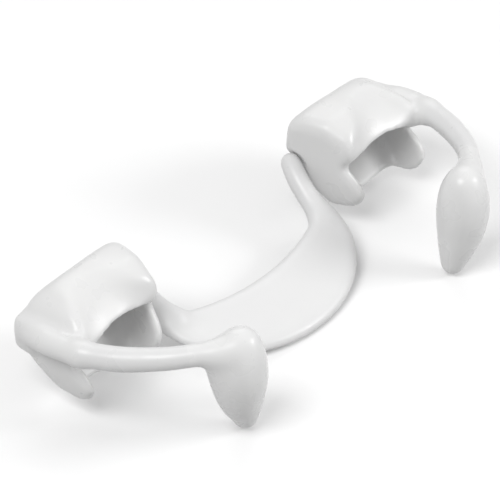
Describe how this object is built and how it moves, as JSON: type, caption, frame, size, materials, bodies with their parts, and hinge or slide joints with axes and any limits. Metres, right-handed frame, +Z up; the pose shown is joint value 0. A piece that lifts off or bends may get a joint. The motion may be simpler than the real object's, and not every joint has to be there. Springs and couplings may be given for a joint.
{
  "type": "retractable costume fangs",
  "caption": "White moulded costume mouthpiece: molar caps carry curved arms with fangs, joined by link rods to a crescent tongue plate.",
  "frame": {"origin": "on the mid plane, under the centre of the whole part's box, level with its lowest point", "axes": "+X towards the wearer's side shown on the right of the picture, -Y towards the lips, +Z up with the fangs pointing down"},
  "size_m": [0.0668, 0.0277, 0.015],
  "materials": {
    "plate_plastic": "gloss white, slightly translucent",
    "rod_plastic": "gloss white, slightly translucent",
    "cap_plastic": "gloss white, slightly translucent, softly uneven",
    "arm_plastic": "gloss white, slightly translucent",
    "fang_plastic": "polished white"
  },
  "bodies": {
    "plate": {"tongue_plate": "plate_plastic", "left_link_rod": "rod_plastic", "right_link_rod": "rod_plastic"},
    "left_cap": {"left_molar_cap": "cap_plastic"},
    "right_cap": {"right_molar_cap": "cap_plastic"},
    "left_arm": {"left_fang_arm": "arm_plastic", "left_fang": "fang_plastic"},
    "right_arm": {"right_fang_arm": "arm_plastic", "right_fang": "fang_plastic"}
  },
  "joints": [
    {"name": "left_cap_tilt", "type": "hinge", "parent": "plate", "child": "left_cap", "pos_m": [-0.0154, 0.012, 0.0079], "axis": [1, 0, 0], "range_deg": [-12, 12], "stiffness_Nm_per_rad": 0.08},
    {"name": "right_cap_tilt", "type": "hinge", "parent": "plate", "child": "right_cap", "pos_m": [0.0154, 0.012, 0.0079], "axis": [1, 0, 0], "range_deg": [-12, 12], "stiffness_Nm_per_rad": 0.08},
    {"name": "left_arm_swing", "type": "hinge", "parent": "left_cap", "child": "left_arm", "pos_m": [-0.0314, 0.0034, 0.01095], "axis": [1, 0, 0], "range_deg": [-12, 12], "stiffness_Nm_per_rad": 0.05},
    {"name": "right_arm_swing", "type": "hinge", "parent": "right_cap", "child": "right_arm", "pos_m": [0.0314, 0.0034, 0.01095], "axis": [1, 0, 0], "range_deg": [-12, 12], "stiffness_Nm_per_rad": 0.05}
  ]
}
